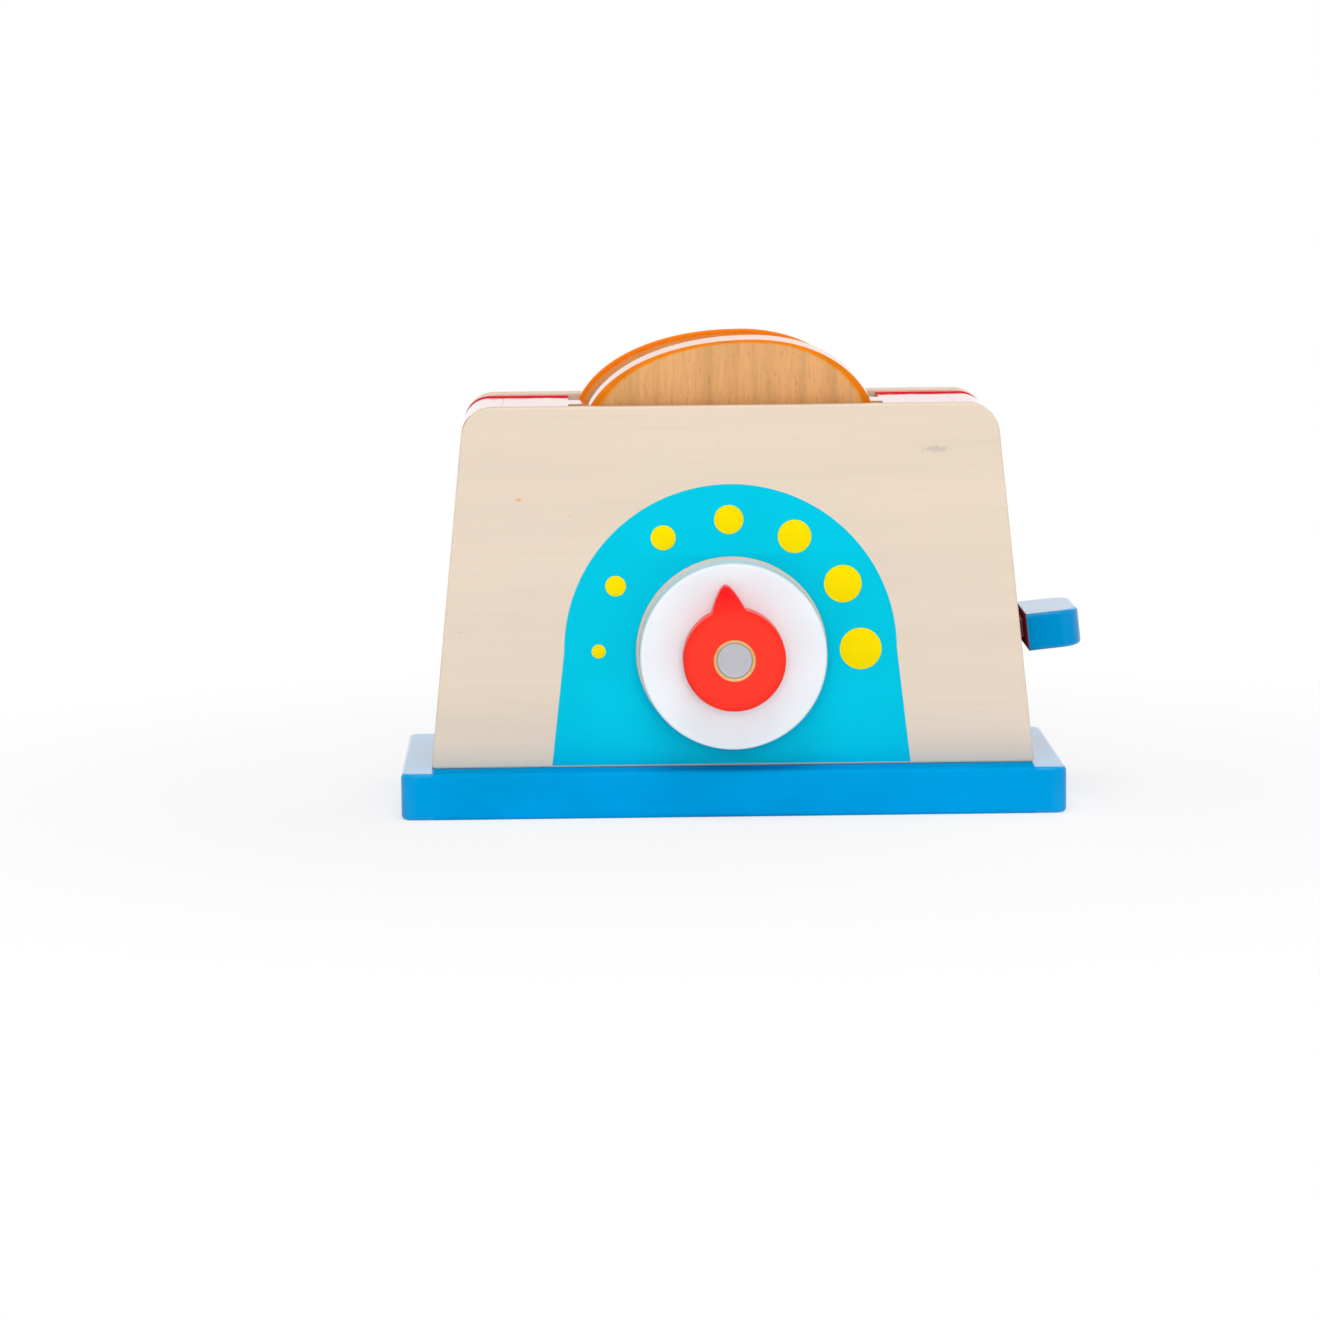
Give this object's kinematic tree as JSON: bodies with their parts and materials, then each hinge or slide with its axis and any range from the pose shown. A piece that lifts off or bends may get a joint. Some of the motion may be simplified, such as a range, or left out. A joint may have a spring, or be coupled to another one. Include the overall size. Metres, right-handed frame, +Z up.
{
  "type": "toy toaster",
  "caption": "Wooden pop-up toy toaster with a side lever, a turning dial knob and bread slices standing in its slots.",
  "frame": {"origin": "middle of the underside of the base board", "axes": "+X to the lever's side, -Y to the front with the dial, +Z up"},
  "size_m": [0.2182, 0.1064, 0.1504],
  "materials": {
    "blue_paint": "glossy blue paint on wood",
    "plywood": "clear satin varnish on pale plywood",
    "red_paint": "glossy red paint on wood",
    "knob_red": "satin red paint on wood",
    "white_paint": "satin white paint on wood",
    "bare_wood": "sanded bare wood",
    "toasted_wood": "oiled wood with a painted orange rim",
    "grey_plastic": "moulded grey plastic",
    "bush_plastic": "moulded off-white plastic",
    "steel": "zinc-plated steel",
    "arch_paint": "thin cyan paint layer on the front panel",
    "dot_paint": "thin yellow paint dots over the cyan arch"
  },
  "bodies": {
    "body": {"base_board": "blue_paint", "front_panel": "plywood", "back_panel": "plywood", "left_side_wall": "red_paint", "right_side_wall": "red_paint", "top_board": "red_paint", "slot_divider": "bare_wood", "dial_plate": "white_paint", "dial_pin": "grey_plastic", "dial_retainer": "steel", "left_guide_rod": "bare_wood", "right_guide_rod": "bare_wood", "left_lift_spring": "steel", "right_lift_spring": "steel", "base_screw_1": "steel", "base_screw_2": "steel", "base_screw_3": "steel", "base_screw_4": "steel"},
    "carriage": {"front_shelf": "bare_wood", "back_shelf": "bare_wood", "left_cross_bar": "bare_wood", "right_cross_bar": "bare_wood", "left_guide_bush": "bush_plastic", "right_guide_bush": "bush_plastic", "stem_block": "bare_wood", "carriage_screw_1": "steel", "carriage_screw_2": "steel", "carriage_screw_3": "steel", "carriage_screw_4": "steel", "carriage_screw_5": "steel", "carriage_screw_6": "steel", "lever_stem": "bare_wood", "lever_knob": "blue_paint"},
    "knob": {"dial_knob": "knob_red"},
    "front_slice": {"toast_front": "toasted_wood"},
    "back_slice": {"toast_back": "toasted_wood"}
  },
  "joints": [
    {"name": "lever_push", "type": "slide", "parent": "body", "child": "carriage", "axis": [0, 0, -1], "range_m": [0, 0.024], "stiffness_N_per_m": 100, "springref_m": -0.04, "deforming": ["left_lift_spring", "right_lift_spring"]},
    {"name": "knob_turn", "type": "hinge", "parent": "body", "child": "knob", "pos_m": [0, -0.05, 0.0513], "axis": [0, -1, 0], "continuous": true},
    {"name": "front_slice_lift", "type": "slide", "parent": "carriage", "child": "front_slice", "axis": [0, -0.0872, 0.9962], "range_m": [0, 0.085]},
    {"name": "back_slice_lift", "type": "slide", "parent": "carriage", "child": "back_slice", "axis": [0, 0.0523, 0.9986], "range_m": [0, 0.085]}
  ]
}
